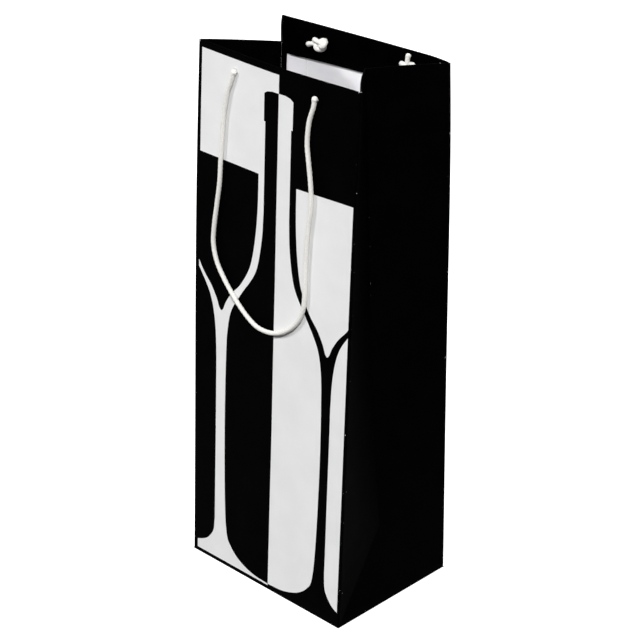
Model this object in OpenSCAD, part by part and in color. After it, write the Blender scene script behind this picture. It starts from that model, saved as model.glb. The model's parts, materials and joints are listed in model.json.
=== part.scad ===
// Wine bottle gift bag, standing free with its mouth part closed.
// One folded sheet makes the faces, gussets, hems and base flaps. Two cards stiffen the mouth,
// a board stiffens the base, and each rope handle is knotted inside its two holes.
// The sheet is split along its creases, because its panels turn about them.
// Origin: centre of the base, on the surface the bag stands on. +Z up, front face towards -Y.

/* [Bag] */
// Width of the front and back faces
bag_w = 127; // [115:1:140]
// Depth of the bag at its base
bag_d = 95; // [88:1:102]
// Length of each face from its base crease to its top fold
bag_h = 330; // [310:5:360]
// How far each face leans in at the mouth
mouth_lean = 13; // [10:1:15]

/* [Paper and card] */
// Thickness of the laminated sheet
paper = 0.4; // [0.3:0.05:0.5]
// Depth of the hem turned in round the mouth
hem_h = 22; // [20:1:30]
// Thickness of the card inside the front and back hems
card_t = 0.8; // [0.5:0.1:1]
// Thickness of the base board
board_t = 1.2; // [0.8:0.1:2]
// How far each long base flap reaches past the middle of the base
flap_lap = 11; // [6:1:14]
// Width of the glued strip that joins the sheet into a tube
seam_w = 16; // [12:1:25]

/* [Rope handles] */
// Diameter of the rope
cord_d = 2.8; // [2.4:0.1:3]
// Distance between a handle's two holes
hole_gap = 63; // [58:1:68]
// Distance from the top fold down to the holes
hole_drop = 11; // [10:1:12]
// Diameter of the holes
hole_d = 4.4; // [4:0.1:5]
// Width of each knot across its face
knot_w = 11; // [9:0.1:11.5]
// How far each knot stands off the hem
knot_t = 7.8; // [6:0.1:8.4]

/* [Hidden] */
$fn = 48;

ink = "#0c0c0e";
print_white = "#e3e3e3";
inside_white = "#e8e8ea";
rope_white = "#ebe9e5";
board_grey = "#b9b4aa";

// The base flaps lie on each other; the faces start just above them, on their own crease
crease_gap = 0.2;
crease_z = 2 * paper + crease_gap;
lean = asin(mouth_lean / bag_h);

// Half the depth inside the sheet, which is also the width of half a gusset
half_d = bag_d / 2 - paper;
corner_x = bag_w / 2 - paper;
// Room along a corner crease, beside it for the hem's second layer, and along the centre crease,
// where the linkage is open
corner_gap = 0.4;
hem_gap = 2;
centre_gap = 2;
// The gusset halves start above the board, next to the foot triangle's slanting crease
half_foot = 5;
fold_gap = 0.4;
glue = 0.05;
gusset_steps = 6;

// The hem's stack on a face stays out of the corner that the gusset folds into
stack_inset = 5;
stack_t = paper + card_t + paper;
card_margin = 2;

// The rope turns about a line just outside the face, level with the holes
hole_s = bag_h - hole_drop;
hole_x = hole_gap / 2;
cord_r = cord_d / 2;
pivot_out = cord_r + 1.2;
neck_clear = 0.3;
cord_sides = 8;

// A knot is a little lower than it is wide, and its tail stands up to just under the top fold
knot_h = 0.87 * knot_w;
tail_top = hole_drop - 1;

// The hanging rope, from its left hole to its right: x, distance out from the face, drop below the holes
route_bends = [
    [-33, 3.4, 5], [-36, 2.6, 13], [-38.5, 2, 26], [-39.7, 1.8, 40], [-40.6, 1.8, 54], [-41.3, 1.8, 68],
    [-43.5, 1.8, 83], [-45.5, 1.8, 97], [-45.7, 1.8, 107], [-42.7, 1.8, 117], [-36.4, 1.8, 126],
    [-28.4, 1.8, 134.5], [-19, 1.8, 142.2], [-9, 1.8, 147.3], [2, 1.8, 147.5], [12, 1.8, 144],
    [21, 1.8, 137], [27, 1.8, 128], [29, 1.8, 117], [29, 1.8, 97], [30, 1.8, 77], [31.8, 1.8, 62],
    [31.4, 1.8, 51], [29.2, 1.8, 37], [27.6, 2, 26], [28.4, 2.6, 14], [31, 3.4, 5]
];
route = concat([[-hole_x, pivot_out, 0]], route_bends, [[hole_x, pivot_out, 0]]);

function unit(v) = v / norm(v);

// Lean of a face at a height s along it, and the fold of the gusset that this leaves there
function lean_at(s) = mouth_lean * s / bag_h;
function fold_at(s) = acos(1 - lean_at(max(s, half_d)) / half_d);

// A point of the right front gusset half, in the front face's frame:
// s up the face, u away from the corner crease, w out through the sheet
function gusset_point(s, u, w) = let (f = fold_at(s)) [
    corner_x - u * sin(f) + w * cos(f),
    paper + u * cos(f) + w * sin(f),
    s
];

// Width of the gusset half at height s: it narrows to the corner along the foot triangle
function half_width(s) = min(half_d - centre_gap, s - 1);

// Puts children drawn in a face's frame (x, depth in from its outer side, height along it) in place
module on_face(back = false) {
    rotate([0, 0, back ? 180 : 0])
        translate([0, -bag_d / 2, crease_z])
            rotate([-lean, 0, 0])
                children();
}

// A flat piece in a face's frame, between x0 and x1, y0 and y1, s0 and s1
module sheet_block(x0, x1, y0, y1, s0, s1) {
    translate([x0, y0, s0])
        cube([x1 - x0, y1 - y0, s1 - s0]);
}

module cord_holes() {
    for (x = [-hole_x, hole_x])
        translate([x, -1, hole_s])
            rotate([-90, 0, 0])
                cylinder(d = hole_d, h = stack_t + 2);
}

// A ruled strip of gusset through the given heights, from inset away from the corner crease
// to the centre crease, and from depth w0 to w1 in the sheet
module gusset_strip(heights, inset, w0, w1) {
    rows = len(heights);
    points = [
        for (s = heights)
            for (corner = [[0, w0], [1, w0], [1, w1], [0, w1]])
                gusset_point(s, corner[0] == 0 ? inset : half_width(s), corner[1])
    ];
    // The two broad sides are split along the same diagonals, so the strip keeps its thickness
    sides = [
        for (i = [0:rows - 2])
            for (k = [0:3])
                let (
                    a = 4 * i + k,
                    b = 4 * i + (k + 1) % 4,
                    rising = [[a, b, a + 4], [b, b + 4, a + 4]],
                    falling = [[a, b, b + 4], [a, b + 4, a + 4]]
                )
                    for (triangle = k == 2 ? falling : rising)
                        triangle
    ];
    last = 4 * (rows - 1);
    polyhedron(
        points = points,
        faces = concat([[3, 2, 1, 0]], sides, [[last, last + 1, last + 2, last + 3]]),
        convexity = 4
    );
}

// Puts a right front gusset piece at one of the bag's four corners
module at_corner(left, back) {
    on_face(back)
        mirror([left == back ? 0 : 1, 0, 0])
            children();
}

module gusset_half(left, back) {
    top = bag_h - hem_h;
    heights = concat(
        [half_foot],
        [for (i = [0:gusset_steps]) half_d + i * (top - half_d) / gusset_steps],
        [bag_h]
    );
    color(ink)
        at_corner(left, back)
            gusset_strip(heights, corner_gap, 0, paper);
}

module gusset_hem(left, back) {
    color(ink)
        at_corner(left, back)
            gusset_strip([bag_h - hem_h, bag_h], hem_gap, -paper - glue, -glue);
}

// The flat triangle at the foot of a gusset, between its two slanting creases
module gusset_foot(left) {
    color(ink)
        mirror([left ? 1 : 0, 0, 0])
            translate([bag_w / 2, 0, crease_z + fold_gap])
                rotate([0, -fold_at(half_d), 0])
                    rotate([0, -90, 0])
                        linear_extrude(paper)
                            polygon([
                                [0, -(half_d - 2 * fold_gap)],
                                [half_d - 2 * fold_gap, 0],
                                [0, half_d - 2 * fold_gap]
                            ]);
}

module face_panel(back) {
    color(print_white)
        on_face(back)
            difference() {
                sheet_block(-bag_w / 2, bag_w / 2, 0, paper, 0, bag_h);
                cord_holes();
            }
}

module header_card(back) {
    half_w = bag_w / 2 - stack_inset;
    color(board_grey)
        on_face(back)
            difference() {
                sheet_block(-half_w, half_w, paper, paper + card_t, bag_h - hem_h + card_margin, bag_h - paper);
                cord_holes();
            }
}

// The hem on a face, with the fold that takes it over the card
module face_hem(back) {
    half_w = bag_w / 2 - stack_inset;
    color(ink)
        on_face(back)
            difference() {
                union() {
                    sheet_block(-half_w, half_w, paper + card_t, stack_t, bag_h - hem_h, bag_h - paper);
                    sheet_block(-half_w, half_w, paper, stack_t, bag_h - paper, bag_h);
                }
                cord_holes();
            }
}

// The strip that joins the sheet's two long edges, glued inside the back face by its left edge
module side_seam_flap() {
    seam_gap = 1.6;
    color(inside_white)
        on_face(true)
            sheet_block(
                corner_x - seam_gap - seam_w, corner_x - seam_gap,
                paper, 2 * paper,
                half_foot, bag_h - hem_h - card_margin
            );
}

// A knot on the inside of a face, with the neck of rope that passes out through the hole
module knot(x, back) {
    middle = stack_t + glue + knot_t / 2;
    color(rope_white)
        on_face(back)
            translate([x, 0, hole_s]) {
                translate([0, middle, 0])
                    scale([1, knot_t / knot_w, knot_h / knot_w])
                        sphere(d = knot_w);
                translate([0, cord_r + neck_clear - pivot_out, 0])
                    rotate([-90, 0, 0])
                        cylinder(d = cord_d, h = middle - cord_r - neck_clear + pivot_out);
                translate([0, middle, 0])
                    cylinder(d = cord_d, h = tail_top);
            }
}

// The swinging rope of one handle: a tube with a ring at each point of its route
module handle_cord(back) {
    path = [for (p = route) [p[0], -p[1], hole_s - p[2]]];
    count = len(path);
    heading = [
        for (i = [0:count - 1])
            unit(path[min(i + 1, count - 1)] - path[max(i - 1, 0)])
    ];
    points = [
        for (i = [0:count - 1])
            let (side = unit(cross(heading[i], [0, 1, 0])), rise = cross(side, heading[i]))
                for (k = [0:cord_sides - 1])
                    let (a = 360 * (k + 0.5) / cord_sides)
                        path[i] + cord_r * (cos(a) * side + sin(a) * rise)
    ];
    walls = [
        for (i = [0:count - 2])
            for (k = [0:cord_sides - 1])
                let (a = cord_sides * i + k, b = cord_sides * i + (k + 1) % cord_sides)
                    for (triangle = [[a, b, a + cord_sides], [b, b + cord_sides, a + cord_sides]])
                        triangle
    ];
    ends = [
        [for (k = [cord_sides - 1:-1:0]) k],
        [for (k = [0:cord_sides - 1]) cord_sides * (count - 1) + k]
    ];
    color(rope_white)
        on_face(back)
            polyhedron(points = points, faces = concat(walls, ends), convexity = 6);
}

// A long base flap: a trapezium with 45 degree sides, folded in from a face
module long_flap(back, z) {
    reach = bag_d / 2 + flap_lap;
    tip = bag_w / 2 - reach;
    color(ink)
        rotate([0, 0, back ? 180 : 0])
            translate([0, 0, z])
                linear_extrude(paper)
                    polygon([
                        [-bag_w / 2, -bag_d / 2],
                        [bag_w / 2, -bag_d / 2],
                        [tip, -bag_d / 2 + reach],
                        [-tip, -bag_d / 2 + reach]
                    ]);
}

// A side tuck: the triangle folded in from a gusset, under the long flaps
module tuck_flap(left) {
    half_base = half_d - 2 * corner_gap;
    color(ink)
        mirror([left ? 1 : 0, 0, 0])
            translate([bag_w / 2, 0, 2 * paper])
                linear_extrude(paper)
                    polygon([[0, -half_base], [0, half_base], [-half_base, 0]]);
}

module bottom_board() {
    board_gap = 1.6;
    color(board_grey)
        translate([0, 0, 3 * paper + board_t / 2])
            cube([bag_w - 2 * board_gap, bag_d - 2 * board_gap, board_t], center = true);
}

long_flap(true, 0);  // bottom_flap_back
long_flap(false, paper);  // bottom_flap_front
tuck_flap(true);  // tuck_flap_left
tuck_flap(false);  // tuck_flap_right
bottom_board();
gusset_foot(true);  // left_gusset_foot
gusset_foot(false);  // right_gusset_foot
face_panel(false);  // front_panel
header_card(false);  // front_header_card
face_hem(false);  // front_hem
knot(-hole_x, false);  // front_knot_left
knot(hole_x, false);  // front_knot_right
face_panel(true);  // back_panel
header_card(true);  // back_header_card
face_hem(true);  // back_hem
knot(hole_x, true);  // back_knot_left
knot(-hole_x, true);  // back_knot_right
side_seam_flap();
gusset_half(true, false);  // left_gusset_front
gusset_hem(true, false);  // left_hem_front
gusset_half(true, true);  // left_gusset_back
gusset_hem(true, true);  // left_hem_back
gusset_half(false, false);  // right_gusset_front
gusset_hem(false, false);  // right_hem_front
gusset_half(false, true);  // right_gusset_back
gusset_hem(false, true);  // right_hem_back
handle_cord(false);  // front_handle_cord
handle_cord(true);  // back_handle_cord
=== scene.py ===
"""Wine bottle gift bag: the visual model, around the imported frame.

Every sheet piece is laid out flat, in the coordinates of its own panel, and then mapped onto the
panel's bent surface: x across the panel, depth in from its outer side, and s up along it.
"""

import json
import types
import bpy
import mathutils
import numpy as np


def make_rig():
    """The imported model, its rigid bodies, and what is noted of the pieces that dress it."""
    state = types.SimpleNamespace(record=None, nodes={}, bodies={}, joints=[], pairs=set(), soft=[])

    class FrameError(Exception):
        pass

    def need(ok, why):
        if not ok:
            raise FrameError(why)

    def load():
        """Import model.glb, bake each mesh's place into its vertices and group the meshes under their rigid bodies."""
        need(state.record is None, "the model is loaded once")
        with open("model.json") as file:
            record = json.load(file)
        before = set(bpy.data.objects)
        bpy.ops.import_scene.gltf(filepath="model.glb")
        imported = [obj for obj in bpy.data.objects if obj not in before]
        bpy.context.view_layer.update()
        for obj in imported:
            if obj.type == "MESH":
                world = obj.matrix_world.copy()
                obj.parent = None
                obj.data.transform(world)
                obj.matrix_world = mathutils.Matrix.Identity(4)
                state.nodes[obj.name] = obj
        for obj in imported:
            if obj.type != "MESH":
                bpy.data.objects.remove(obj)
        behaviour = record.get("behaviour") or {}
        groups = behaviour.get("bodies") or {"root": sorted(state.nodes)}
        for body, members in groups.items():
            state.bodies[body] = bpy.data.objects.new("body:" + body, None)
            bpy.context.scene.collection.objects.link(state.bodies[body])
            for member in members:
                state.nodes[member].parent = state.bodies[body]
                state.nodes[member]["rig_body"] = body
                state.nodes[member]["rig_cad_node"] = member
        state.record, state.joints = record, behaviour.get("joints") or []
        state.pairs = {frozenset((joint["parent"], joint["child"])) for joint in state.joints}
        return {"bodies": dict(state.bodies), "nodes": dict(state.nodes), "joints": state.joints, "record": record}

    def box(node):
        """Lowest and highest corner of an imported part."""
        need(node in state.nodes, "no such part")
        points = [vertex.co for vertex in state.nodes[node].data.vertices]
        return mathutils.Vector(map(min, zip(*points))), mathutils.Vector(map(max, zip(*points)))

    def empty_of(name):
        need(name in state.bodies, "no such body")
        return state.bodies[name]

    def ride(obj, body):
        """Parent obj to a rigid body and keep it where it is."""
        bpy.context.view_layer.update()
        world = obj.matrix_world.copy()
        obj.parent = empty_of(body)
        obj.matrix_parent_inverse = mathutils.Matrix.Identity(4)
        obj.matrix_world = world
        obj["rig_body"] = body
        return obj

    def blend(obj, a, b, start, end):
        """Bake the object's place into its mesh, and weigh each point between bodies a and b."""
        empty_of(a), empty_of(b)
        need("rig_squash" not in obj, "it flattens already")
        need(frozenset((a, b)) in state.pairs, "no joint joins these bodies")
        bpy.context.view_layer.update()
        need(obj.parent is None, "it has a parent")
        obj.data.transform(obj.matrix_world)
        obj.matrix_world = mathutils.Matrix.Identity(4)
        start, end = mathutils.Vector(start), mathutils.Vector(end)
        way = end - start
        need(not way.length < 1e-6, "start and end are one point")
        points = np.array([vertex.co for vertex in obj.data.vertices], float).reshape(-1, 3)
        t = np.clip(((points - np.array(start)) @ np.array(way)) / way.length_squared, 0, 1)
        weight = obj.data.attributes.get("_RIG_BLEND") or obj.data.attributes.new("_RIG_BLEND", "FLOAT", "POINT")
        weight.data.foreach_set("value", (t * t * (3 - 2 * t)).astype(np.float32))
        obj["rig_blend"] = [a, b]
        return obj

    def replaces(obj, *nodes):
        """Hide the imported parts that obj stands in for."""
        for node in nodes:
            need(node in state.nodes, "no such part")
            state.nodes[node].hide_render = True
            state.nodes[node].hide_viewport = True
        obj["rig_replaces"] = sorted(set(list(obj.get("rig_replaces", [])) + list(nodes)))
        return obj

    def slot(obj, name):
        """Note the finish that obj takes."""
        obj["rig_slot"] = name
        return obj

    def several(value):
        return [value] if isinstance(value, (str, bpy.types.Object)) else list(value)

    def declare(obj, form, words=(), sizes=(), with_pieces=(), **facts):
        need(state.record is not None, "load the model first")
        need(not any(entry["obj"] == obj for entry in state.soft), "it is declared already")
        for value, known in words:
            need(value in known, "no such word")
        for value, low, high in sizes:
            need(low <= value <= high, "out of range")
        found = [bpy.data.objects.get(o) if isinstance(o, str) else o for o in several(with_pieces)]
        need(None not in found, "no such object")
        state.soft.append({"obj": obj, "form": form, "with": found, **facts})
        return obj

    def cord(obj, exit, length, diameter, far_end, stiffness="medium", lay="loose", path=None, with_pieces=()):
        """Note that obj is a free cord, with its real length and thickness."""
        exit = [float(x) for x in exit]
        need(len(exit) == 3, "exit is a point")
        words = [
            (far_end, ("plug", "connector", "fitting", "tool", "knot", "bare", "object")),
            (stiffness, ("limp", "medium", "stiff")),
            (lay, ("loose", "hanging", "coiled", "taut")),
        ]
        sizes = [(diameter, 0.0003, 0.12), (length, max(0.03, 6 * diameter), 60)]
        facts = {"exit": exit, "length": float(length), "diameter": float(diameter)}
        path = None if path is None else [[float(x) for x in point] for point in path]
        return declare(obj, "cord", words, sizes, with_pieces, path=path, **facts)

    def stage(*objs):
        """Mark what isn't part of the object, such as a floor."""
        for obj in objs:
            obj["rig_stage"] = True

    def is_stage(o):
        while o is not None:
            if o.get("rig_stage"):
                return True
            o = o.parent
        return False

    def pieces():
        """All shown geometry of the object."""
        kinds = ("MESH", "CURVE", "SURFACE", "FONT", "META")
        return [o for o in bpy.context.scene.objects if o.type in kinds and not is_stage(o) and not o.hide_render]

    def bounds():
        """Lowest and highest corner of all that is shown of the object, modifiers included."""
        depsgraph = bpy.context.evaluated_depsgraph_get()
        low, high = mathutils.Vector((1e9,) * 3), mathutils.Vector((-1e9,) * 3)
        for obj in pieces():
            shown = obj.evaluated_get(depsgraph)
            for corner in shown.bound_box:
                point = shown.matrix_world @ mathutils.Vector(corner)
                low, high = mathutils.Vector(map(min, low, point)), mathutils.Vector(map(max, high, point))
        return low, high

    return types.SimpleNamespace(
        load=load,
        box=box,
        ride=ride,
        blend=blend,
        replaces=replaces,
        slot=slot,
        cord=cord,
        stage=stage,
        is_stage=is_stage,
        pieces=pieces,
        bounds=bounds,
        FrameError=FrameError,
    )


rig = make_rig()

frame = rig.load()

import json
import math

import bpy
from mathutils import Matrix, Vector, noise
from mathutils.geometry import delaunay_2d_cdt

CAD_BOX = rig.bounds()
MM = 0.001


def measure_bag():
    """The bag's main dimensions, from the frame."""
    flap_low, flap_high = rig.box("bottom_flap_back")
    _, face_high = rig.box("front_panel")
    crease = next(j for j in frame["joints"] if j["name"] == "mouth_front")["pos_m"]
    sheet = flap_high.z - flap_low.z
    inward = face_high.y - crease[1] - sheet
    upward = face_high.z - crease[2]
    return {
        "width": flap_high.x - flap_low.x,
        "depth": 2 * flap_high.y,
        "sheet": sheet,
        "crease_z": crease[2],
        "lean": math.atan2(inward, upward),
        "face": math.hypot(inward, upward),
    }


BAG = measure_bag()
BAG_W = BAG["width"]
BAG_D = BAG["depth"]
PAPER = BAG["sheet"]
CREASE_Z = BAG["crease_z"]
LEAN = BAG["lean"]
FACE_H = BAG["face"]

# Half the depth inside the sheet, which is also the width of half a gusset
HALF_D = BAG_D / 2 - PAPER
CORNER_X = BAG_W / 2 - PAPER

# Hem, header card and base
HEM_H = 22 * MM
CARD_T = 0.8 * MM
CARD_HALF_W = BAG_W / 2 - 5 * MM
STACK_T = 2 * PAPER + CARD_T
HOLE_X = 31.5 * MM
HOLE_S = FACE_H - 11 * MM
HOLE_R = 1.75 * MM

# Folds and the soft shape of the paper
CORNER_R = 0.8 * MM
BASE_R = 0.9 * MM
VALLEY_R = 1.1 * MM
ROLL_H = 0.8 * MM
FLAT_X = 61.5 * MM
FOLD_STEP = 1 * MM
CORNER_STEPS = 5
BASE_STEPS = 3
BOW = {False: 1.2 * MM, True: 0.7 * MM}

# The bag has settled a little out of true: how much further in each corner of the mouth leans,
# by (back, bag's left)
SETTLE = {
    (False, True): 0.0 * MM, (False, False): -0.8 * MM,
    (True, True): 2.0 * MM, (True, False): -2.4 * MM,
}
# How far the corner folds belly out between base and mouth, and how high up they do it most
BELLY = {
    (False, True): (1.2 * MM, 1.6), (False, False): (0.4 * MM, 2.0),
    (True, True): (1.2 * MM, 1.6), (True, False): (1.2 * MM, 3.0),
}
# How much higher or lower than its even height the top fold stands: left, middle and right
RISE = {False: (0.5 * MM, -1.1 * MM, -0.6 * MM), True: (0.8 * MM, 0.6 * MM, 0.4 * MM)}
# How much lower still the top of each gusset's centre crease hangs, by bag's left
SAG = {True: 0.0, False: 1.2 * MM}
# The back right corner of the mouth droops
DROOP = 1.0 * MM
DROOP_W = 14 * MM
GAP = 0.05 * MM

# Rope
CORD_R = 1.4 * MM
PIVOT_OUT = CORD_R + 1.2 * MM
STRANDS = 3
STRAND_LAY = 8 * MM
KNOT_ACROSS = 1.65 * MM
KNOT_UP = 1.08 * MM
KNOT_RISE = 1.5 * MM
# How far in from the hem's stack a knot's middle is
KNOT_IN = 3.4 * MM

BODIES = {False: "front_face", True: "back_face"}
SIDES = {False: "front", True: "back"}

# The front handle's route, in metres: x, distance out from the face, drop below the holes
CORD_ROUTE = [
    (-0.0315, 0.0026, 0), (-0.033, 0.0026, 0.005), (-0.036, 0.0026, 0.013),
    (-0.0385, 0.002, 0.026), (-0.0397, 0.0018, 0.040), (-0.0406, 0.0018, 0.054),
    (-0.0413, 0.0018, 0.068), (-0.0435, 0.0018, 0.083), (-0.0455, 0.0018, 0.097),
    (-0.0457, 0.0018, 0.107), (-0.0427, 0.0018, 0.117), (-0.0364, 0.0018, 0.126),
    (-0.0284, 0.0018, 0.1345), (-0.019, 0.0018, 0.1422), (-0.009, 0.0018, 0.1473),
    (0.002, 0.0018, 0.1475), (0.012, 0.0018, 0.144), (0.021, 0.0018, 0.137),
    (0.027, 0.0018, 0.128), (0.029, 0.0018, 0.117), (0.029, 0.0018, 0.097),
    (0.030, 0.0018, 0.077), (0.0318, 0.0018, 0.062), (0.0314, 0.0018, 0.051),
    (0.0292, 0.0018, 0.037), (0.0276, 0.002, 0.026), (0.0284, 0.0026, 0.014),
    (0.031, 0.0026, 0.005), (0.0315, 0.0026, 0),
]


# ---------------------------------------------------------------- the bag's surfaces


def across_bag(x, back):
    """Where a point across a face is, from -1 at the bag's left corner to 1 at its right."""
    return max(-1.0, min(1.0, (-x if back else x) / FLAT_X))


def settle_at(x, s, back):
    """How far in a face has settled beyond its even lean; x is across its own frame."""
    share = across_bag(x, back)
    left = SETTLE[(back, True)]
    right = SETTLE[(back, False)]
    up = max(0.0, min(1.0, s / FACE_H))
    belly, power = BELLY[(back, share < 0)]
    bulge = belly * share * share * math.sin(math.pi * up ** power)
    return ((left + right) / 2 + share * (right - left) / 2) * up - bulge


def rise_at(x, s, back):
    """How much higher a point of a face stands than in a bag that is quite true."""
    share = across_bag(x, back)
    left, middle, right = RISE[back]
    side = left if share < 0 else right
    rise = middle + (side - middle) * abs(share)
    if back and share > 0:
        inward = max(0.0, FLAT_X - abs(x))
        rise -= DROOP * max(0.0, 1 - inward / DROOP_W) ** 2
    return rise * max(0.0, s) / FACE_H


def fold_at(s, left):
    """How far a side's gusset halves are turned in from square at a height, constant beside the foot."""
    level = max(s, HALF_D)
    edge = CORNER_X if left else -CORNER_X
    settled = (settle_at(-edge, level, False) + settle_at(edge, level, True)) / 2
    return math.acos(1 - (math.sin(LEAN) * level + settled) / HALF_D)


def on_face(back):
    """From a face's own frame to the bag's."""
    turn = Matrix.Rotation(math.pi if back else 0, 4, "Z")
    lift = Matrix.Translation((0, -BAG_D / 2, CREASE_Z))
    return turn @ lift @ Matrix.Rotation(-LEAN, 4, "X")


ON_FACE = {back: on_face(back) for back in (False, True)}


def bow_at(x, s, back):
    """How far a face bows out, most at the middle of its mouth."""
    across = min(1.0, abs(x) / FLAT_X)
    up = max(0.0, min(1.0, s / FACE_H))
    return BOW[back] * (1 - across * across) * up * up


def ripple(x, s, seed):
    """The slight unevenness of paper that has been folded and flattened."""
    calm = min(1.0, max(0.0, (FLAT_X - abs(x)) / (12 * MM))) * min(1.0, max(0.0, s) / (30 * MM))
    return 0.22 * MM * calm * noise.noise(Vector((x * 22, s * 14, seed)))


def face_point(x, depth, s, back):
    """A point of a face's sheet, wrapped round the corner and base folds where it runs past them."""
    side = -1 if x < 0 else 1
    past = (abs(x) - FLAT_X) / FOLD_STEP
    level = max(s, 0)
    fold = fold_at(level, (side < 0) != back)
    centre = CORNER_X + (PAPER - CORNER_R) * (1 + math.sin(fold)) / math.cos(fold)
    if past <= 1:
        reach = abs(x) if past <= 0 else FLAT_X + past * (centre - FLAT_X)
        out = bow_at(x, level, back) + ripple(x, level, 3.0 if back else 7.0)
        point = Vector((side * reach, depth - out, level))
        inward = Vector((0, 1, 0))
    else:
        angle = (past - 1) / (CORNER_STEPS - 1) * (math.pi / 2 + fold) - math.pi / 2
        inward = Vector((-side * math.cos(angle), -math.sin(angle), 0))
        axis = Vector((side * centre, CORNER_R, level))
        point = axis - (CORNER_R - depth) * inward
    point.y += settle_at(x, level, back)
    point.z += rise_at(x, level, back)
    if past > 0 and s > FACE_H - 6 * MM:
        point.z += ROLL_H * min(1, past) * (s - FACE_H + 6 * MM) / (6 * MM - ROLL_H)
    if s < 0:
        turn = -s / (BASE_STEPS * FOLD_STEP) * math.pi / 2
        radius = BASE_R - depth
        point += inward * radius * (1 - math.cos(turn))
        point.z -= radius * math.sin(turn)
    return ON_FACE[back] @ point


def stack_at(x):
    """Thickness of a face's hem stack, which thins to two sheets past the ends of the card."""
    thin = min(1.0, max(0.0, (abs(x) - CARD_HALF_W + 1 * MM) / (2.5 * MM)))
    thin = thin * thin * (3 - 2 * thin)
    return STACK_T + thin * (2 * PAPER + GAP - STACK_T)


def hem_point(x, run, inner, back):
    """A point of a face's hem. run goes over the top fold from 0 to 1, and then on down the inside
    in metres."""
    stack = stack_at(x)
    start = FACE_H - ROLL_H
    thick = PAPER - GAP if inner else 0
    if run <= 1:
        angle = math.pi * run
        depth = stack / 2 - (stack / 2 - thick) * math.cos(angle)
        s = start + (ROLL_H - thick) * math.sin(angle)
    else:
        depth = stack - thick
        s = start - (run - 1)
    return face_point(x, depth, s, back)


def gusset_point(s, u, w, left):
    """A point of a right front gusset half in the front face's frame: u is from the corner crease
    and w is out."""
    fold = fold_at(s, left)
    valley = VALLEY_R * math.tan(fold / 2)
    along = Vector((-math.sin(fold), math.cos(fold), 0))
    out = Vector((math.cos(fold), math.sin(fold), 0))
    corner = Vector((CORNER_X, PAPER, s))
    past = u - (HALF_D - valley)
    if s < HALF_D or past <= 0:
        return corner + along * u + out * w
    axis = corner + along * (HALF_D - valley) + out * (VALLEY_R + PAPER / 2)
    angle = min(1.0, past / valley) * fold
    spin = Vector((math.cos(fold - angle), math.sin(fold - angle), 0))
    beyond = max(0.0, past - valley)
    return axis - spin * (VALLEY_R + PAPER / 2 - w) + Vector((0, beyond, 0))


def at_corner(point, left, back):
    """From the right front corner's frame to one of the bag's four corners. Both faces' rise is shared
    at the gusset's centre crease."""
    side = -1 if left != back else 1
    inward = settle_at(side * CORNER_X, point.z, back)
    own = rise_at(side * CORNER_X, point.z, back)
    other = rise_at(-side * CORNER_X, point.z, not back)
    inner = min(1.0, max(0.0, point.y / HALF_D))
    rise = own + (other - own) * inner / 2 - SAG[left] * inner * max(0.0, point.z) / FACE_H
    return ON_FACE[back] @ Vector((side * point.x, point.y + inward, point.z + rise))


# ---------------------------------------------------------------- mesh building


def mesh_object(name, points, faces, materials, picks=None, wear=None):
    """A mesh piece, smooth shaded, with a material for each face and how worn each point is."""
    mesh = bpy.data.meshes.new(name)
    mesh.from_pydata([tuple(p) for p in points], [], faces)
    for material in materials:
        mesh.materials.append(material)
    if picks:
        mesh.polygons.foreach_set("material_index", picks)
    worn = mesh.attributes.new("wear", "FLOAT", "POINT")
    worn.data.foreach_set("value", wear or [0.0] * len(points))
    mesh.polygons.foreach_set("use_smooth", [True] * len(faces))
    mesh.update()
    piece = bpy.data.objects.new(name, mesh)
    bpy.context.scene.collection.objects.link(piece)
    return piece


def sharpen(piece, degrees=40):
    """Keeps the cut edges of a sheet crisp under smooth shading."""
    mesh = piece.data
    normals = [p.normal.copy() for p in mesh.polygons]
    sides = {}
    for polygon in mesh.polygons:
        for key in polygon.edge_keys:
            sides.setdefault(key, []).append(polygon.index)
    limit = math.cos(math.radians(degrees))
    for edge in mesh.edges:
        around = sides.get(tuple(sorted(edge.vertices)), [])
        if len(around) != 2 or normals[around[0]].dot(normals[around[1]]) < limit:
            edge.use_edge_sharp = True
    return piece


def outline_box(x0, x1, s0, s1):
    return [(x0, s0), (x1, s0), (x1, s1), (x0, s1)]


def grid_outline(columns, rows):
    """A rectangle's outline, with a point at the end of every row and column."""
    foot = [(x, rows[0]) for x in columns]
    right = [(columns[-1], s) for s in rows[1:-1]]
    top = [(x, rows[-1]) for x in reversed(columns)]
    left = [(columns[0], s) for s in reversed(rows[1:-1])]
    return foot + right + top + left


def split_loop(loop, step):
    """A closed outline with points no more than a step apart, so that it can bend with its sheet."""
    result = []
    for a, b in zip(loop, loop[1:] + loop[:1]):
        a = Vector(a)
        b = Vector(b)
        count = max(1, math.ceil((b - a).length / step - 1e-6))
        result += [a.lerp(b, k / count) for k in range(count)]
    return result


def circle(x, s, radius, count=24):
    turns = [2 * math.pi * k / count for k in range(count)]
    return [(x + radius * math.cos(a), s + radius * math.sin(a)) for a in turns]


def spread(low, high, step):
    """Evenly spaced numbers from low to high, about a step apart."""
    count = max(1, round((high - low) / step))
    return [low + (high - low) * k / count for k in range(count + 1)]


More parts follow.
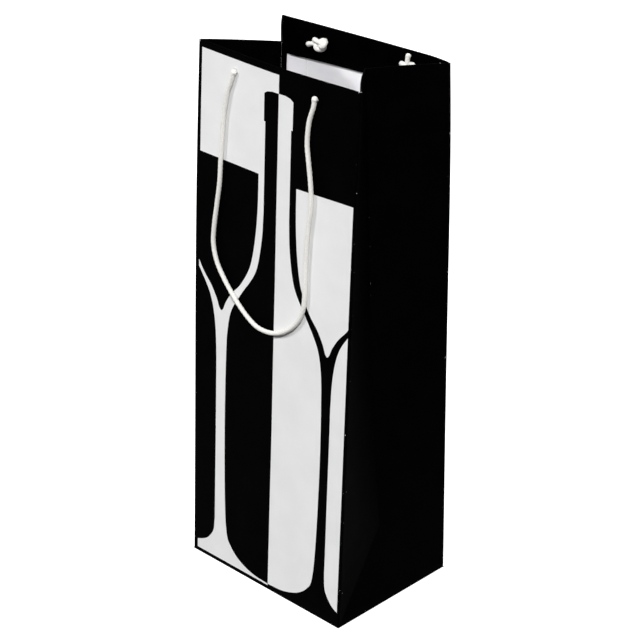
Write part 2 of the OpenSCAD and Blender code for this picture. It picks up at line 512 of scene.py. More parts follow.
def cut_sheet(columns, rows, holes=(), regions=(), creases=()):
    """Triangles of a flat sheet, with how many of the regions each of them lies in.

    The sheet has points where its columns and rows cross, and edges along its creases.
    """
    loops = [grid_outline(columns, rows)] + list(holes) + [split_loop(r, 4 * MM) for r in regions]
    points = []
    faces = []
    edges = []
    for loop in loops:
        faces.append(list(range(len(points), len(points) + len(loop))))
        points += [Vector(p) for p in loop]
    for x in columns[1:-1]:
        start = len(points)
        points += [Vector((x, s)) for s in (rows if x in creases else rows[1:-1])]
        if x in creases:
            edges += [(k, k + 1) for k in range(start, len(points) - 1)]
    found = delaunay_2d_cdt(points, edges, faces, 1, 1e-6)
    hole_ids = set(range(1, 1 + len(holes)))
    triangles = []
    depths = []
    for face, inside in zip(found[2], found[5]):
        if 0 in inside and not hole_ids & set(inside):
            triangles.append(list(face))
            depths.append(len([k for k in inside if k > len(holes)]))
    return found[0], triangles, depths


def thick_sheet(name, flat, place, materials, pick, worn):
    """A sheet with an outer and an inner side, and cut edges between them."""
    flat_points, triangles, depths = flat
    used = sorted({k for t in triangles for k in t})
    rank = {k: i for i, k in enumerate(used)}
    count = len(used)
    points = []
    wear = []
    for inner in (False, True):
        for k in used:
            points.append(place(flat_points[k].x, flat_points[k].y, inner))
            wear.append(worn(flat_points[k].x, flat_points[k].y))
    faces = []
    picks = []
    rim = {}
    for triangle, depth in zip(triangles, depths):
        a, b, c = (rank[k] for k in triangle)
        middle = sum((flat_points[k] for k in triangle), Vector((0, 0))) / 3
        faces += [(a, b, c), (a + count, c + count, b + count)]
        picks += [pick(depth, middle, False), pick(depth, middle, True)]
        for edge in ((a, b), (b, c), (c, a)):
            if (edge[1], edge[0]) in rim:
                del rim[(edge[1], edge[0])]
            else:
                rim[edge] = True
    for a, b in rim:
        faces.append((b, a, a + count, b + count))
        picks.append(len(materials) - 1)
    return sharpen(mesh_object(name, points, faces, materials, picks, wear))


def is_inside_out(points, faces):
    """Whether a closed skin's faces look inward."""
    volume = 0.0
    for face in faces:
        first = points[face[0]]
        for a, b in zip(face[1:], face[2:]):
            volume += first.dot(points[a].cross(points[b]))
    return volume < 0


def skin(rings, picks, ends=None):
    """The closed skin over rings of equal length: its points, its faces and each face's material.

    ends gives the faces that close a ring, as places round it, for a ring too crooked for one face.
    """
    size = len(rings[0])
    points = [p for ring in rings for p in ring]
    faces = []
    chosen = []
    for i in range(len(rings) - 1):
        for k in range(size):
            a = i * size + k
            b = i * size + (k + 1) % size
            faces.append((a, b, b + size, a + size))
            chosen.append(picks[k])
    last = (len(rings) - 1) * size
    for end in ends or [range(size)]:
        faces.append(tuple(reversed(end)))
        faces.append(tuple(last + k for k in end))
        chosen += [picks[0], picks[0]]
    if is_inside_out(points, faces):
        faces = [tuple(reversed(f)) for f in faces]
    return points, faces, chosen


def lofted(name, rings, materials, picks, wear=None, ends=None):
    """A piece made of one closed skin."""
    points, faces, chosen = skin(rings, picks, ends)
    return mesh_object(name, points, faces, materials, chosen, wear)


def rope_piece(name, strings):
    """A piece made of several ropes, each given by its rings."""
    points = []
    faces = []
    for rings in strings:
        more, walls, _ = skin(rings, [0] * len(rings[0]))
        faces += [tuple(k + len(points) for k in wall) for wall in walls]
        points += more
    return mesh_object(name, points, faces, [ROPE])


def catmull_rom(points, steps):
    """A smooth line through the points, with this many steps from each to the next."""
    padded = [2 * points[0] - points[1]] + list(points) + [2 * points[-1] - points[-2]]
    line = []
    for i in range(1, len(padded) - 2):
        p0, p1, p2, p3 = padded[i - 1:i + 3]
        for k in range(steps):
            t = k / steps
            line.append(0.5 * (
                2 * p1 + (p2 - p0) * t + (2 * p0 - 5 * p1 + 4 * p2 - p3) * t ** 2
                + (3 * p1 - p0 - 3 * p2 + p3) * t ** 3
            ))
    line.append(points[-1].copy())
    return line


def smooth_path(points, step):
    """A smooth line through the points, resampled evenly."""
    return resample(catmull_rom(points, 24), step)


def resample(line, step):
    """Points along a fine line, about a step apart."""
    runs = [0.0]
    for a, b in zip(line, line[1:]):
        runs.append(runs[-1] + (b - a).length)
    count = max(2, round(runs[-1] / step))
    result = []
    at = 0
    for k in range(count + 1):
        want = runs[-1] * k / count
        while at < len(runs) - 2 and runs[at + 1] < want:
            at += 1
        span = max(runs[at + 1] - runs[at], 1e-12)
        result.append(line[at].lerp(line[at + 1], (want - runs[at]) / span))
    return result


def rope_rings(path, radius_at, sides=24):
    """Rings of a twisted rope along a path: three strands with grooves between them."""
    heading = (path[1] - path[0]).normalized()
    side = heading.orthogonal().normalized()
    rings = []
    travelled = 0.0
    for i, point in enumerate(path):
        ahead = path[min(i + 1, len(path) - 1)] - path[max(i - 1, 0)]
        ahead.normalize()
        side = (side - ahead * side.dot(ahead)).normalized()
        rise = ahead.cross(side)
        if i:
            travelled += (point - path[i - 1]).length
        twist = 2 * math.pi * travelled / STRAND_LAY
        ring = []
        for k in range(sides):
            angle = 2 * math.pi * k / sides
            groove = abs(math.cos(STRANDS / 2 * (angle - twist)))
            radius = radius_at(i / (len(path) - 1)) * (0.84 + 0.16 * groove ** 0.6)
            ring.append(point + radius * (math.cos(angle) * side + math.sin(angle) * rise))
        rings.append(ring)
    return rings


# ---------------------------------------------------------------- materials


def new_material(name, colour, roughness, specular=0.5, sheen=0.0):
    material = bpy.data.materials.new(name)
    material.use_nodes = True
    shader = material.node_tree.nodes["Principled BSDF"]
    shader.inputs["Base Color"].default_value = (*colour, 1)
    shader.inputs["Roughness"].default_value = roughness
    shader.inputs["Specular IOR Level"].default_value = specular
    shader.inputs["Sheen Weight"].default_value = sheen
    shader.inputs["Sheen Roughness"].default_value = 0.5
    return material


def add_node(material, kind, **values):
    node = material.node_tree.nodes.new(kind)
    for key, value in values.items():
        if hasattr(node, key):
            setattr(node, key, value)
        else:
            node.inputs[key.replace("_", " ").title()].default_value = value
    return node


def noise_field(material, scale, detail=3.0, stretch=(1, 1, 1)):
    """Noise in the piece's own coordinates, in features per metre."""
    links = material.node_tree.links
    coords = add_node(material, "ShaderNodeTexCoord")
    mapping = add_node(material, "ShaderNodeMapping")
    mapping.inputs["Scale"].default_value = stretch
    field = add_node(material, "ShaderNodeTexNoise", Scale=scale, Detail=detail)
    links.new(coords.outputs["Object"], mapping.inputs["Vector"])
    links.new(mapping.outputs["Vector"], field.inputs["Vector"])
    return field.outputs["Fac"]


def ramp(material, field, stops):
    """A colour ramp over a field: stops are (place, grey or colour)."""
    node = add_node(material, "ShaderNodeValToRGB")
    elements = node.color_ramp.elements
    while len(elements) < len(stops):
        elements.new(0.5)
    for element, (place, value) in zip(elements, stops):
        element.position = place
        element.color = (value, value, value, 1) if isinstance(value, float) else (*value, 1)
    material.node_tree.links.new(field, node.inputs["Fac"])
    return node.outputs["Color"]


def vary_roughness(material, field, low, high):
    node = add_node(material, "ShaderNodeMapRange")
    node.inputs["To Min"].default_value = low
    node.inputs["To Max"].default_value = high
    links = material.node_tree.links
    links.new(field, node.inputs["Value"])
    shader = material.node_tree.nodes["Principled BSDF"]
    links.new(node.outputs["Result"], shader.inputs["Roughness"])


def add_bumps(material, layers):
    """Bump from several fields, each with its height in metres."""
    links = material.node_tree.links
    normal = None
    for field, height in layers:
        bump = add_node(material, "ShaderNodeBump")
        bump.inputs["Strength"].default_value = 1.0
        bump.inputs["Distance"].default_value = height
        links.new(field, bump.inputs["Height"])
        if normal:
            links.new(normal, bump.inputs["Normal"])
        normal = bump.outputs["Normal"]
    links.new(normal, material.node_tree.nodes["Principled BSDF"].inputs["Normal"])


# How much easier the ink comes off where the wear attribute is 1
WORN_LIFT = 0.20


def add_wear(material, base, core):
    """Ink cracked off along the folds, in specks that show the paper's core."""
    links = material.node_tree.links
    worn = add_node(material, "ShaderNodeAttribute", attribute_name="wear")
    field = add_node(material, "ShaderNodeMath", operation="MULTIPLY_ADD")
    links.new(worn.outputs["Fac"], field.inputs[0])
    field.inputs[1].default_value = WORN_LIFT
    links.new(noise_field(material, 850, 0.0), field.inputs[2])
    specks = ramp(material, field.outputs["Value"], [(0.96, 0.0), (0.98, 1.0)])
    mix = add_node(material, "ShaderNodeMix", data_type="RGBA")
    links.new(specks, mix.inputs["Factor"])
    links.new(base, mix.inputs[6])
    mix.inputs[7].default_value = (*core, 1)
    shader = material.node_tree.nodes["Principled BSDF"]
    links.new(mix.outputs[2], shader.inputs["Base Color"])


def printed_paper(name, dark, light, specular):
    """Laminated print: a faint mottle in the ink, fine paper texture under the film, worn folds."""
    material = new_material(name, light, 0.45, specular=specular)
    mottle = ramp(material, noise_field(material, 60, 4.0), [(0.35, dark), (0.65, light)])
    add_wear(material, mottle, (0.62, 0.61, 0.60))
    fibres = noise_field(material, 1400, 3.0)
    swell = noise_field(material, 170, 2.0)
    vary_roughness(material, noise_field(material, 90, 5.0), 0.42, 0.58)
    add_bumps(material, [(fibres, 0.006 * MM), (swell, 0.02 * MM)])
    return material


def bare_paper():
    """The sheet's uncoated inside: soft, matt and fibrous."""
    material = new_material("uncoated_paper", (0.78, 0.77, 0.79), 0.85, specular=0.25)
    links = material.node_tree.links
    fibres = noise_field(material, 1500, 5.0, stretch=(1, 1, 0.35))
    cloud = noise_field(material, 45, 3.0)
    colour = ramp(material, cloud, [(0.3, (0.83, 0.82, 0.845)), (0.7, (0.88, 0.87, 0.89))])
    links.new(colour, material.node_tree.nodes["Principled BSDF"].inputs["Base Color"])
    vary_roughness(material, fibres, 0.78, 0.92)
    add_bumps(material, [(fibres, 0.02 * MM), (noise_field(material, 300, 3.0), 0.03 * MM)])
    return material


def paper_core():
    """The pale, slightly furry cut edge of the sheet."""
    material = new_material("paper_cut_edge", (0.60, 0.59, 0.58), 0.9, specular=0.2)
    links = material.node_tree.links
    layers = noise_field(material, 2500, 4.0, stretch=(1, 1, 0.2))
    colour = ramp(material, layers, [(0.3, (0.50, 0.49, 0.48)), (0.7, (0.68, 0.67, 0.66))])
    links.new(colour, material.node_tree.nodes["Principled BSDF"].inputs["Base Color"])
    add_bumps(material, [(layers, 0.04 * MM)])
    return material


def grey_board():
    """Recycled board with flecks of darker and lighter fibre."""
    material = new_material("grey_board", (0.45, 0.43, 0.40), 0.9, specular=0.2)
    links = material.node_tree.links
    flecks = noise_field(material, 700, 6.0, stretch=(1, 0.5, 1))
    stops = [(0.25, (0.20, 0.19, 0.18)), (0.42, (0.42, 0.40, 0.37)), (0.75, (0.56, 0.54, 0.50))]
    colour = ramp(material, flecks, stops)
    links.new(colour, material.node_tree.nodes["Principled BSDF"].inputs["Base Color"])
    vary_roughness(material, flecks, 0.82, 0.96)
    add_bumps(material, [(flecks, 0.05 * MM), (noise_field(material, 120, 3.0), 0.08 * MM)])
    return material


def rope_fibre():
    """Soft white yarn: fine fibres over the strands, with a little sheen."""
    material = new_material("twisted_white_rope", (0.80, 0.78, 0.74), 0.9, specular=0.2, sheen=0.3)
    links = material.node_tree.links
    fibres = noise_field(material, 2600, 4.0, stretch=(1, 1, 0.4))
    shade = ramp(material, fibres, [(0.3, (0.68, 0.665, 0.63)), (0.65, (0.82, 0.805, 0.77))])
    links.new(shade, material.node_tree.nodes["Principled BSDF"].inputs["Base Color"])
    vary_roughness(material, noise_field(material, 400, 2.0), 0.82, 0.95)
    add_bumps(material, [(fibres, 0.06 * MM), (noise_field(material, 900, 2.0), 0.05 * MM)])
    return material


INK = printed_paper("black_ink_laminate", (0.0004, 0.0003, 0.0003), (0.0008, 0.0006, 0.0006), 0.003)
WHITE = printed_paper("white_print_laminate", (0.735, 0.735, 0.735), (0.765, 0.765, 0.765), 0.15)
INSIDE = bare_paper()
EDGE = paper_core()
BOARD = grey_board()
ROPE = rope_fibre()


# ---------------------------------------------------------------- the printed motif

# A counterchange print of a bottle between two stemmed glasses, in millimetres across and up the face
# The outlines follow one particular bag's print closely, so they are that print and not a generic one
PRINT_LEFT = -59.7
PRINT_RIGHT = 61.6
PRINT_TOP = 326.2
PRINT_FOOT = 2.0
BOTTLE_X = 3.4
GLASS_OUT = {-1: 43.9, 1: 43.0}
BOWL_WIDE = {-1: 1.0, 1: 0.95}
WINE_LEVEL = {-1: 265.0, 1: 264.4}
# How much the right glass's level climbs towards the edge of the print
WINE_TILT = {-1: 0.0, 1: 1.0}
STEM_HALF = 3.8


def curve_through(points):
    """A smooth curve of the pattern's outlines."""
    return [(p.x, p.y) for p in catmull_rom([Vector(p) for p in points], 6)]


def bottle_outline():
    """Half width and height of the bottle, mirrored about its middle."""
    body = curve_through([
        (0, 3), (13, 4), (25, 8.2), (33, 14.8), (37, 23.5), (39, 50), (40, 100), (39.4, 145),
        (38.2, 162), (35.7, 173), (31.4, 181), (26.0, 189), (19.5, 198), (15.6, 205), (13.1, 214),
        (11, 228), (10.2, 243),
    ])
    cap = [(10.2, 297), (11.3, 297), (11.3, 313.2), (9, 314.7), (5, 315.5)]
    half = body + cap
    return [(BOTTLE_X + x, s) for x, s in half] + [(BOTTLE_X - x, s) for x, s in reversed(half[1:])]


def cut_at_border(line, reach):
    """The part of a line, given from the glass's middle outward, that the print's edge leaves."""
    kept = [p for p in line if p[0] < reach]
    after = next(p for p in line if p[0] >= reach)
    before = kept[-1]
    share = (reach - before[0]) / (after[0] - before[0])
    return kept + [(reach, before[1] + share * (after[1] - before[1]))]


def wine_outline(side):
    """The wine in one glass, from the tip of its bowl up to its level."""
    middle = BOTTLE_X + side * GLASS_OUT[side]
    reach = abs((PRINT_RIGHT if side > 0 else PRINT_LEFT) - middle)
    bowl = curve_through([
        (0, 171), (1.7, 172.8), (4.0, 178), (8.7, 185), (15.6, 192.5), (22, 203), (25.3, 213),
        (27.8, 229), (29, 246), (29.2, WINE_LEVEL[side]),
    ])
    bowl = [(x * BOWL_WIDE[side], s) for x, s in bowl]
    outer = cut_at_border(bowl, reach)
    inward = [(middle - side * x, s) for x, s in bowl]
    outward = [(middle + side * x, s) for x, s in outer[1:]]
    edge = (middle + side * reach, WINE_LEVEL[side] + WINE_TILT[side])
    return inward + [edge] + list(reversed(outward))


def beside_stem_outline(side):
    """The ground between one glass's stem and the edge of the print."""
    middle = BOTTLE_X + side * GLASS_OUT[side]
    reach = abs((PRINT_RIGHT if side > 0 else PRINT_LEFT) - middle)
    bowl = curve_through([
        (STEM_HALF, 140), (4.4, 155), (5.9, 167), (8.4, 176.5), (12.3, 184), (21, 196),
    ])
    foot = curve_through([(STEM_HALF, 30), (4.6, 21), (7.5, 15.5), (12, 11), (21, 7)])
    line = list(reversed(cut_at_border(foot, reach))) + cut_at_border(bowl, reach)
    return [(middle + side * x, s) for x, s in line]


def motif():
    """The pattern's outlines, in metres. Where an odd number of them overlap, the print is white."""
    ground = outline_box(PRINT_LEFT, BOTTLE_X, PRINT_FOOT, PRINT_TOP)
    loops = [ground, bottle_outline()]
    for side in (-1, 1):
        loops += [wine_outline(side), beside_stem_outline(side)]
    return [[(x * MM, s * MM) for x, s in loop] for loop in loops]


# ---------------------------------------------------------------- faces


def fold_columns():
    """Places across a face where its sheet bends round its corner folds."""
    right = [FLAT_X + k * FOLD_STEP for k in range(CORNER_STEPS + 1)]
    return [-x for x in reversed(right)], right


# How worn the corner folds and the rim are; the right gusset's centre crease is worn most
CORNER_WORN = 0.7
RIM_WORN = 0.55


def fold_wear(x, s):
    """The folds are where the ink cracks."""
    return CORNER_WORN if abs(x) > FLAT_X + 0.5 * FOLD_STEP or s < 0 else 0.0


def printed_face(back):
    top = FACE_H - ROLL_H
    holes = [circle(x, HOLE_S, HOLE_R) for x in (-HOLE_X, HOLE_X)]
    rows = [k * FOLD_STEP for k in range(-BASE_STEPS, 0)]
    rows += spread(0, top - 6 * MM, 6 * MM) + [top - 3 * MM, top]
    left, right = fold_columns()
    columns = left + spread(-FLAT_X, FLAT_X, 5 * MM)[1:-1] + right
    flat = cut_sheet(columns, rows, holes, motif(), left + right)

    def pick(depth, middle, inner):
        if inner:
            return 0 if middle.y > FACE_H - HEM_H + 2 * MM else 2
        return depth % 2

    def place(x, s, inner):
        return face_point(x, PAPER if inner else 0, s, back)

    piece = thick_sheet(
        f"{SIDES[back]}_printed_sheet", flat, place, [INK, WHITE, INSIDE, EDGE], pick, fold_wear
    )
    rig.replaces(piece, f"{SIDES[back]}_panel")
    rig.slot(piece, "printed_face")
    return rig.ride(piece, BODIES[back])


# How much less deep the back hem is cut than an even one, and how much it gains at the bag's left
HEM_SHORT = 0.6 * MM
HEM_FALL = 1.9 * MM


def hem_slack(x, back):
    """How much deeper than even a hem is cut: the back's falls away towards the bag's left."""
    if not back:
        return 0.0
    return -HEM_SHORT + HEM_FALL * max(0.0, -across_bag(x, back)) ** 1.5


def face_hem_sheet(back):
    """The hem on a face: over the top fold, round the card, and down the inside."""
    fall = HEM_H - ROLL_H
    lip = 2 * MM
    holes = [circle(x, -(HOLE_S - FACE_H + ROLL_H), HOLE_R) for x in (-HOLE_X, HOLE_X)]
    rows = spread(-lip, 0, 0.2 * MM) + spread(0, fall, 4 * MM)[1:]
    flat = cut_sheet(spread(-FLAT_X, FLAT_X, 2.5 * MM), rows, holes)

    def place(x, t, inner):
        uneven = hem_slack(x, back) + 0.18 * MM * noise.noise(Vector((x * 90, 0, 5)))
        drop = t + uneven * max(0, t) / fall
        run = 1 + drop if t > 0 else 1 + t / lip
        return hem_point(x, run, inner, back)

    piece = thick_sheet(
        f"{SIDES[back]}_hem_strip", flat, place, [INK, EDGE],
        lambda depth, middle, inner: 0, lambda x, t: RIM_WORN if t < 0 else 0.0,
    )
    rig.replaces(piece, f"{SIDES[back]}_hem")
    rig.slot(piece, "black_sheet")
    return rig.ride(piece, BODIES[back])


def header_card(back):
    """The card inside the hem, following the face's bow."""
    holes = [circle(x, HOLE_S, HOLE_R) for x in (-HOLE_X, HOLE_X)]
    half = CARD_HALF_W - 0.6 * MM
    low = FACE_H - HEM_H + 2 * MM
    high = FACE_H - ROLL_H - PAPER
    flat = cut_sheet(spread(-half, half, 4 * MM), spread(low, high, 4 * MM), holes)

    def place(x, s, inner):
        depth = PAPER + CARD_T - GAP if inner else PAPER + GAP
        return face_point(x, depth, s, back)

    piece = thick_sheet(
        f"{SIDES[back]}_hem_card", flat, place, [BOARD],
        lambda depth, middle, inner: 0, lambda x, s: 0.0,
    )
    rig.replaces(piece, f"{SIDES[back]}_header_card")
    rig.slot(piece, "board")
    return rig.ride(piece, BODIES[back])


def seam_strip():
    """The glued strip inside the back face, with a faint step over its edge."""
    x0 = CORNER_X - 17.6 * MM
    x1 = CORNER_X - 2.0 * MM
    s0 = 5 * MM
    s1 = FACE_H - HEM_H - 2 * MM
    flat = cut_sheet(spread(x0, x1, 4 * MM), spread(s0, s1, 8 * MM))

    def place(x, s, inner):
        edge = 0.15 * MM * noise.noise(Vector((s * 60, 2, 0))) * (1 if x < x0 + 1 * MM else 0)
        return face_point(x + edge, 2 * PAPER if inner else PAPER + GAP, s, True)

    piece = thick_sheet(
        "glued_seam_strip", flat, place, [INSIDE, EDGE],
        lambda depth, middle, inner: 0, lambda x, s: 0.0,
    )
    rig.replaces(piece, "side_seam_flap")
    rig.slot(piece, "inside_sheet")
    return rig.ride(piece, "back_face")


# ---------------------------------------------------------------- gussets


# How full the gusset halves are near the mouth, by bag's left; less than nothing is hollow
GUSSET_BEND = {True: 0.7 * MM, False: -0.9 * MM}
# A gusset half goes over from its face's motion to its own between these heights
BLEND_FROM = (0, 0, -0.080)
BLEND_TO = (0, 0, 0.340)
# How far a crease's backing reaches on either side of the crease
BACKING_SPAN = (-3 * MM, 2.5 * MM)


def gusset_section():
    """The closed section of a gusset half, up its outside, over the fold and down inside: (s, w)."""
    roll = PAPER + GAP / 2
    top = FACE_H - roll
    low_rows = spread(1.2 * MM, HALF_D, 5 * MM)
    high_rows = spread(HALF_D, top, 9 * MM)[1:]
    outside = [(s, PAPER) for s in low_rows + high_rows]
    over = [
        (top + roll * math.sin(math.pi * k / 6), -GAP / 2 + roll * math.cos(math.pi * k / 6))
        for k in range(1, 6)
    ]
    hem_rows = spread(top, FACE_H - HEM_H, 5 * MM)
    hem_front = [(s, -PAPER - GAP) for s in hem_rows]
    hem_back = [(s, -GAP) for s in reversed(hem_rows)]
    inside = [(s, 0.0) for s in reversed(low_rows + high_rows)]
    section = outside + over + hem_front + hem_back + inside
    black = len(outside) + len(over) + len(hem_front)
    picks = [0] * (black - 1) + [1] * (len(section) - black) + [1]
    return section, picks, gusset_ends(len(outside), len(over), len(hem_rows))


def gusset_ends(rows, turns, hem_rows):
    """Faces that close a gusset half's section: up the sheet, over its fold and down the hem."""
    count = 2 * (rows + hem_rows) + turns
    hem = rows + turns
    back = hem + 2 * hem_rows - 1
    sheet = [(k, k + 1, count - 2 - k, count - 1 - k) for k in range(rows - 1)]
    fold = tuple(range(rows - 1, hem + 1)) + (back, back + 1)
    return sheet + [fold] + [(hem + k, hem + k + 1, back - k - 1, back - k) for k in range(hem_rows - 1)]


def gusset_columns(s, left):
    """How far from the corner crease a gusset half has points at a height."""
    start = 0.55 * MM
    lap = min(2.5 * MM, 0.3 * MM + 0.25 * max(0.0, s - 1.2 * MM))
    end = HALF_D if s >= HALF_D - 1 * MM else min(HALF_D, s + lap)
    valley = VALLEY_R * math.tan(fold_at(s, left) / 2) if s >= HALF_D else 0.2 * MM
    flat = [start + (end - valley - start) * k / 8 for k in range(9)]
    return flat + [end - valley + valley * k / 4 for k in range(1, 5)]


def gusset_bend(s, u, left):
    """How far out a gusset half bends from flat, most at the mouth."""
    across = u / HALF_D
    up = max(0.0, s - HALF_D) / (FACE_H - HALF_D)
    return GUSSET_BEND[left] * 4 * across * (1 - across) * up * up


def gusset_wear(column, columns, s, left):
    if column > columns - 5:
        return 1.2 if not left and 0.6 * FACE_H < s < FACE_H - HEM_H else CORNER_WORN
    if column == 0:
        return CORNER_WORN
    return RIM_WORN if s > FACE_H - 1 * MM else 0.0


def gusset_half(left, back):
    section, picks, ends = gusset_section()
    side = "left" if left else "right"
    columns = len(gusset_columns(FACE_H, left))
    rings = []
    wear = []
    for k in range(columns):
        ring = []
        for s, w in section:
            u = gusset_columns(min(s, FACE_H), left)[k]
            point = gusset_point(s, u, w, left)
            fold = fold_at(s, left)
            if 0 < u < HALF_D:
                hollow = gusset_bend(s, u, left)
                point += Vector((math.cos(fold), math.sin(fold), 0)) * hollow
            ring.append(at_corner(point, left, back))
            wear.append(gusset_wear(k, columns, s, left))
        rings.append(ring)
    name = f"{side}_gusset_{SIDES[back]}_sheet"
    piece = lofted(name, rings, [INK, INSIDE], picks, wear, ends)
    sharpen(piece)
    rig.replaces(piece, f"{side}_gusset_{SIDES[back]}", f"{side}_hem_{SIDES[back]}")
    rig.slot(piece, "black_sheet")
    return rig.blend(piece, BODIES[back], f"{side}_{SIDES[back]}_half", BLEND_FROM, BLEND_TO)


def crease_backing(left, rim):
    """A strip behind a gusset's centre crease, part of its front half, that laps behind the back half.

    One strip runs up the gusset, and another behind the hem at the rim.
    """
    side = "left" if left else "right"
    low = FACE_H - HEM_H - 1 * MM if rim else HALF_D + 2 * MM
    high = FACE_H - 2 * MM if rim else FACE_H - HEM_H - 1.5 * MM
    near = -1.3 * PAPER if rim else -PAPER
    far = near - PAPER
    start, end = BACKING_SPAN
    rings = []
    for s in spread(low, high, 6 * MM):
        ring = []
        for u, w in ((start, near), (end, near), (end, far), (start, far)):
            point = gusset_point(s, HALF_D + u, w, left)
            ring.append(at_corner(point, left, False))
        rings.append(ring)
    name = f"{side}_{'rim' if rim else 'crease'}_backing"
    piece = lofted(name, rings, [INK, INSIDE], [0, 0, 0 if rim else 1, 0])
    sharpen(piece)
    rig.slot(piece, "black_sheet")
    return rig.blend(piece, "front_face", f"{side}_front_half", BLEND_FROM, BLEND_TO)


def gusset_foot_sheet(left):
    """The triangle at a gusset's foot, with its rounded crease at the base."""
    side = "left" if left else "right"
    sign = -1 if left else 1
    tilt = fold_at(HALF_D, left)
    height = HALF_D - 1.2 * MM
    rings = []
    wear = []
    for t in [-2, -1, 0] + spread(0, height, 5 * MM)[1:]:
        curl = t <= 0
        reach = HALF_D - 0.2 * MM - (0 if curl else t)
        ring = []
        for inner in (False, True):
            ys = [reach * (1 - k / 6) for k in range(13)]
            for y in reversed(ys) if inner else ys:
                depth = PAPER if inner else 0
                if curl:
                    turn = -t / 2 * math.pi / 2
                    radius = BASE_R - depth
                    x = BAG_W / 2 - BASE_R + radius * math.cos(turn) - 0.02 * MM
                    z = CREASE_Z - radius * math.sin(turn)
                else:
                    x = BAG_W / 2 - depth - t * math.sin(tilt) - 0.02 * MM
                    z = CREASE_Z + t * math.cos(tilt)
                ring.append(Vector((sign * x, y, z)))
        rings.append(ring)
        wear += [CORNER_WORN if curl else 0.0] * len(ring)
    picks = [0] * 12 + [0] + [1] * 12 + [0]
    piece = lofted(f"{side}_foot_sheet", rings, [INK, INSIDE], picks, wear)
    sharpen(piece)
    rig.replaces(piece, f"{side}_gusset_foot")
    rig.slot(piece, "black_sheet")
    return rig.ride(piece, "base")


# ---------------------------------------------------------------- rope handles


def surface_at(x, s, back):
    """Depth of a face's bowed and settled outer side, in its own frame."""
    return settle_at(x, s, back) - bow_at(x, s, back)


def face_to_bag(x, out, drop, back):
    """A point of a handle's route: near its holes in the plane of the swing's axis, so that the rope
    clears the rim when it is raised, and then following the face."""
    s = HOLE_S - drop
    follow = min(1.0, max(0.0, drop - 10 * MM) / (20 * MM))
    return ON_FACE[back] @ Vector((x, follow * surface_at(x, s, back) - out, s))


def rope_path(back):
    """The handle's hanging line, in the bag's frame."""
    line = [face_to_bag(x, out, drop, back) for x, out, drop in CORD_ROUTE]
    return smooth_path(line, 0.7 * MM)


def rope_handle(back):
    side = SIDES[back]
    path = rope_path(back)
    rings = rope_rings(path, lambda t: CORD_R)
    piece = rope_piece(f"{side}_rope", [rings])
    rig.replaces(piece, f"{side}_handle_cord")
    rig.slot(piece, "rope")
    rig.ride(piece, f"{side}_handle")
    return piece, path


def knot_loops(centre):
    """The turns of an overhand knot pulled tight, flattened against the hem."""
    line = []
    for k in range(121):
        a = 2 * math.pi * k / 120
        line.append(centre + Vector((
            KNOT_ACROSS * (math.sin(a) + 2 * math.sin(2 * a)),
            -KNOT_RISE * math.sin(3 * a),
            KNOT_UP * (math.cos(a) - 2 * math.cos(2 * a)),
        )))
    return line


def knot_shape(name, back, x, pulled, tail):
    """A knot, its neck through the hole, the hump outside where the rope turns down, and its tail.

    pulled is how far the knot was drawn from its hole when it was tied, across and up.
    """
    surface = surface_at(x, HOLE_S, back)
    level = HOLE_S + rise_at(x, HOLE_S, back)
    centre = Vector((x + pulled[0] * MM, surface + STACK_T + KNOT_IN, level + pulled[1] * MM))
    neck = [centre, Vector((x, surface + STACK_T / 2, level)), Vector((x, surface - 0.6 * MM, level))]
    tail_line = [centre] + [centre + Vector(p) * MM for p in tail]
    strings = []
    for line, radius_at in (
        (knot_loops(centre), lambda t: 1.5 * MM),
        (resample(neck, 0.6 * MM), lambda t: 1.35 * MM),
        (smooth_path(tail_line, 0.5 * MM), tail_radius),
        (hump_line(x, surface, back), hump_radius),
    ):
        strings.append(rope_rings([ON_FACE[back] @ p for p in line], radius_at, sides=18))
    return rope_piece(name, strings)


def tail_radius(t):
    """The cut end of a tail is rounded off and a little fuller than the rope."""
    swell = 1.36 + 0.26 * math.exp(-((t - 0.86) / 0.12) ** 2)
    rounding = math.sqrt(max(0.02, 1 - max(0.0, (t - 0.88) / 0.12) ** 2))
    return swell * rounding * MM


def hump_line(x, surface, back):
    """The short bulge where the rope turns down out of its hole, as far as the swing's axis."""
    start = Vector((x, surface + 0.6 * MM, HOLE_S + rise_at(x, HOLE_S, back)))
    end = Vector((x, 0.4 * surface - PIVOT_OUT - 0.9 * MM, HOLE_S - 0.5 * MM))
    return [start.lerp(end, k / 12) for k in range(13)]


def hump_radius(t):
    return 1.85 * MM * math.sqrt(max(0.03, 1 - (2 * abs(t - 0.5)) ** 2.4))


# Where each knot's tail goes, from the knot's middle: across, in and up, in millimetres
TAILS = {
    (False, False): [(2.5, 0.5, 3), (5, 0.2, 4.5), (7.5, -0.8, 5)],
    (False, True): [(-2, 0.5, 3), (-4.5, 0.2, 5), (-6.5, -0.5, 5.5)],
    (True, False): [(5, 0.5, -0.6), (8, 0.8, -1.4), (10.2, 0.2, -2.4)],
    (True, True): [(-0.2, 0.5, 3), (-0.4, 0.2, 6), (-0.9, -0.4, 8.6)],
}
# How far each knot was drawn from its hole: across and up, in millimetres
PULLED = {
    (False, False): (0, 0), (False, True): (0, 0),
    (True, False): (-1.7, 1.2), (True, True): (-4.3, 1.7),
}


def knot(back, right):
    """A knot on a face's inside; right is the bag's right, seen from the front."""
    side = SIDES[back]
    hand = "right" if right else "left"
    x = HOLE_X if right != back else -HOLE_X
    key = (back, right)
    piece = knot_shape(f"{side}_{hand}_rope_knot", back, x, PULLED[key], TAILS[key])
    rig.replaces(piece, f"{side}_knot_{hand}")
    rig.slot(piece, "rope")
    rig.ride(piece, BODIES[back])
    return piece


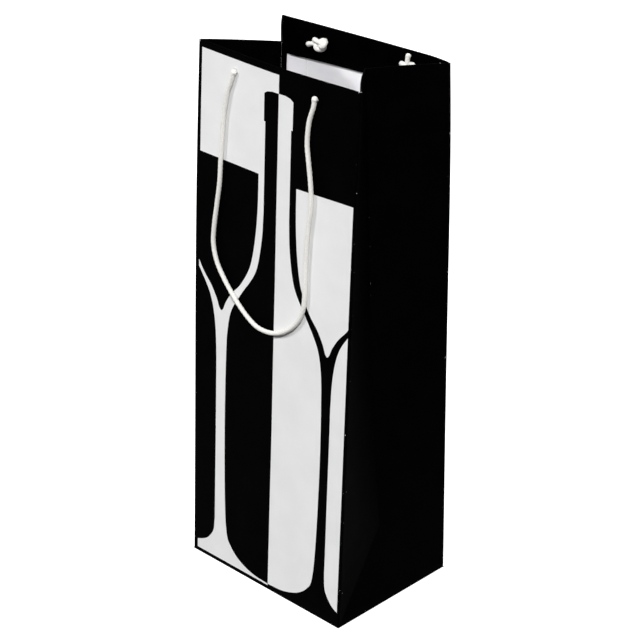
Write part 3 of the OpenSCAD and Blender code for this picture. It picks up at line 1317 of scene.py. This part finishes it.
def handle(back):
    """One rope handle and its knots, declared as a cord that hangs from its two holes."""
    rope, path = rope_handle(back)
    knots = [knot(back, right) for right in (False, True)]
    length = sum((b - a).length for a, b in zip(path, path[1:]))
    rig.cord(
        rope, exit=path[0], length=round(length, 3), diameter=2 * CORD_R, far_end="object",
        stiffness="limp", lay="hanging", path=path, with_pieces=knots,
    )


# ---------------------------------------------------------------- base


def finish_node(node, material, bevel):
    """A flat CAD piece whose shape is right: a real material and soft edges."""
    piece = frame["nodes"][node]
    piece.data.materials.clear()
    piece.data.materials.append(material)
    edge = piece.modifiers.new("soft_edges", "BEVEL")
    edge.width = bevel
    edge.segments = 2
    edge.limit_method = "ANGLE"


def base_layers():
    for node in ("bottom_flap_back", "bottom_flap_front", "tuck_flap_left", "tuck_flap_right"):
        finish_node(node, INK, 0.08 * MM)
    finish_node("bottom_board", BOARD, 0.25 * MM)


# ---------------------------------------------------------------- stage


def soft_light(name, place, target, size, power):
    light = bpy.data.lights.new(name, "AREA")
    light.shape = "DISK"
    light.size = size
    light.energy = power
    lamp = bpy.data.objects.new(name, light)
    lamp.location = place
    lamp.rotation_euler = (Vector(target) - Vector(place)).to_track_quat("-Z", "Y").to_euler()
    bpy.context.scene.collection.objects.link(lamp)


# The floor is a light table, so it stays pale under the bag's own shade
FLOOR_GLOW = 0.75
ROOM_LIGHT = 0.05


def floor_material():
    material = new_material("studio_floor", (0.6, 0.6, 0.6), 0.95, specular=0.0)
    shader = material.node_tree.nodes["Principled BSDF"]
    shader.inputs["Emission Color"].default_value = (1, 1, 1, 1)
    shader.inputs["Emission Strength"].default_value = FLOOR_GLOW
    add_bumps(material, [(noise_field(material, 40, 3.0), 0.02 * MM)])
    return material


def studio():
    """A pale floor that meets a white room, and a large soft light from the upper left."""
    half = 6.0
    floor = mesh_object(
        "studio_floor",
        [(-half, -half, 0), (half, -half, 0), (half, half, 0), (-half, half, 0)],
        [(0, 1, 2, 3)], [floor_material()],
    )
    floor.visible_diffuse = False
    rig.stage(floor)
    world = bpy.data.worlds.new("white_room")
    world.use_nodes = True
    world.node_tree.nodes["Background"].inputs["Color"].default_value = (1, 1, 1, 1)
    world.node_tree.nodes["Background"].inputs["Strength"].default_value = ROOM_LIGHT
    bpy.context.scene.world = world
    soft_light("key_softbox", (-2.5, -3.9, 3.6), (0, 0, 0.1), 0.75, 162)
    soft_light("mouth_softbox", (2.7, -2.9, 4.0), (0, 0, 0.1), 1.1, 322)
    soft_light("back_softbox", (-1.9, 3.8, 3.2), (0, 0, 0.2), 1.8, 264)


def camera():
    """The view: the front face turned away to the left, seen from above."""
    azimuth = math.radians(44.08)
    elevation = math.radians(25.63)
    roll = math.radians(0.44)
    target = Vector((0, 0, 0.170))
    distance = 1.1390
    shift_across = 1.4 * MM
    shift_down = 5.4 * MM
    back = Vector((
        math.sin(azimuth) * math.cos(elevation),
        -math.cos(azimuth) * math.cos(elevation),
        math.sin(elevation),
    ))
    right = Vector((0, 0, 1)).cross(back).normalized()
    up = back.cross(right)
    across = math.cos(roll) * right + math.sin(roll) * up
    upward = math.cos(roll) * up - math.sin(roll) * right
    place = target + back * distance + across * shift_across - upward * shift_down
    turn = Matrix((across, upward, back)).transposed().to_4x4()
    data = bpy.data.cameras.new("camera")
    data.sensor_width = 36
    data.lens = 107.86
    data.clip_start = 0.01
    view = bpy.data.objects.new("camera", data)
    view.matrix_world = Matrix.Translation(place) @ turn
    bpy.context.scene.collection.objects.link(view)
    bpy.context.scene.camera = view
    bpy.context.scene.view_settings.view_transform = "Standard"


def write_sizes():
    """The CAD box and the visual model's box, for comparison."""
    boxes = {"cad": CAD_BOX, "visual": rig.bounds()}
    plain = {key: [[float(v) for v in corner] for corner in box] for key, box in boxes.items()}
    with open("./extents.json", "w") as file:
        json.dump(plain, file)


def build_bag():
    for back in (False, True):
        handle(back)
        printed_face(back)
        face_hem_sheet(back)
        header_card(back)
    for left in (True, False):
        gusset_foot_sheet(left)
        crease_backing(left, False)
        crease_backing(left, True)
        for back in (False, True):
            gusset_half(left, back)
    seam_strip()
    base_layers()


camera()
build_bag()
studio()
write_sizes()
